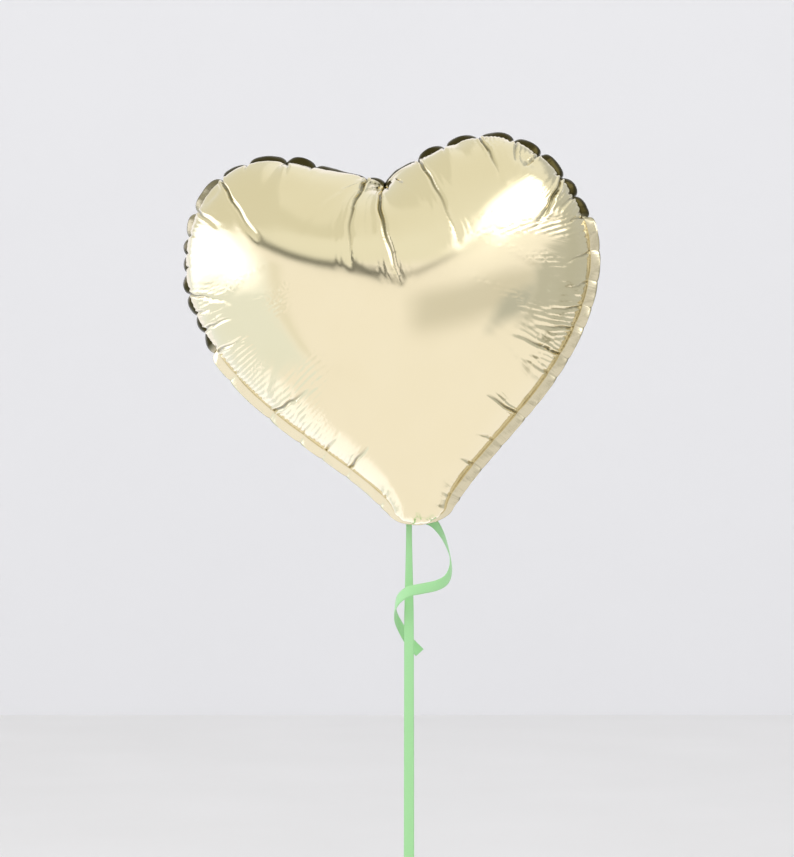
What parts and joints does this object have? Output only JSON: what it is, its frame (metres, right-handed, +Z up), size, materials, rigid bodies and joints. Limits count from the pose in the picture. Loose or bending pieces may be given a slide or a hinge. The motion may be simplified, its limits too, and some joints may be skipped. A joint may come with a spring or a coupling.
{
  "type": "heart-shaped foil balloon",
  "caption": "Heart-shaped foil balloon with a puckered heat-sealed margin and a folded inflation tail, tied to a taut ribbon with a curled loose end and an end loop.",
  "frame": {"origin": "lowest point of the ribbon's end loop, where a hand, hook or weight holds the balloon", "axes": "+Z up along the taut ribbon, +X to the right and -Y out of the heart's front face as seen from the front"},
  "size_m": [0.3934, 0.1918, 0.7364],
  "materials": {
    "champagne_foil": "bright metallised film, champagne gold",
    "sealed_foil": "metallised film, heat-sealed and slightly duller",
    "valve_film": "translucent unmetallised film",
    "mint_ribbon": "satin curling ribbon with fine ribs along it"
  },
  "bodies": {
    "loop": {"end_loop": "mint_ribbon"},
    "anchor": {"end_knot": "mint_ribbon"},
    "ribbon": {"ribbon_run": "mint_ribbon"},
    "knot": {"tie_knot": "mint_ribbon"},
    "curl": {"ribbon_curl": "mint_ribbon"},
    "tail": {"ribbon_tie": "mint_ribbon", "tail_ply_inner": "champagne_foil", "tail_ply_outer": "champagne_foil"},
    "heart": {"front_panel": "champagne_foil", "back_panel": "champagne_foil", "heat_seal_margin": "sealed_foil", "valve_film_front": "valve_film", "valve_film_back": "valve_film"}
  },
  "joints": [
    {"name": "sway_fore", "type": "hinge", "parent": "loop", "child": "anchor", "pos_m": [0, 0, 0.046], "axis": [1, 0, 0], "range_deg": [-60, 60], "stiffness_Nm_per_rad": 0.45},
    {"name": "sway_side", "type": "hinge", "parent": "anchor", "child": "ribbon", "pos_m": [0, 0, 0.046], "axis": [0, 1, 0], "range_deg": [-60, 60], "stiffness_Nm_per_rad": 0.45},
    {"name": "ribbon_twist", "type": "hinge", "parent": "ribbon", "child": "knot", "pos_m": [0, 0, 0.3803], "axis": [0, 0, 1], "continuous": true},
    {"name": "curl_twirl", "type": "hinge", "parent": "knot", "child": "curl", "pos_m": [0, 0, 0.3803], "axis": [0, 0, 1], "range_deg": [0, 150]},
    {"name": "side_tilt", "type": "hinge", "parent": "knot", "child": "tail", "pos_m": [0, 0, 0.3803], "axis": [0, 1, 0], "range_deg": [-15, 15], "stiffness_Nm_per_rad": 0.22},
    {"name": "nod", "type": "hinge", "parent": "tail", "child": "heart", "pos_m": [0.01445, -0.01411, 0.37431], "axis": [0.9952, 0.0136, 0.0966], "range_deg": [0, 60], "stiffness_Nm_per_rad": 0.22}
  ]
}
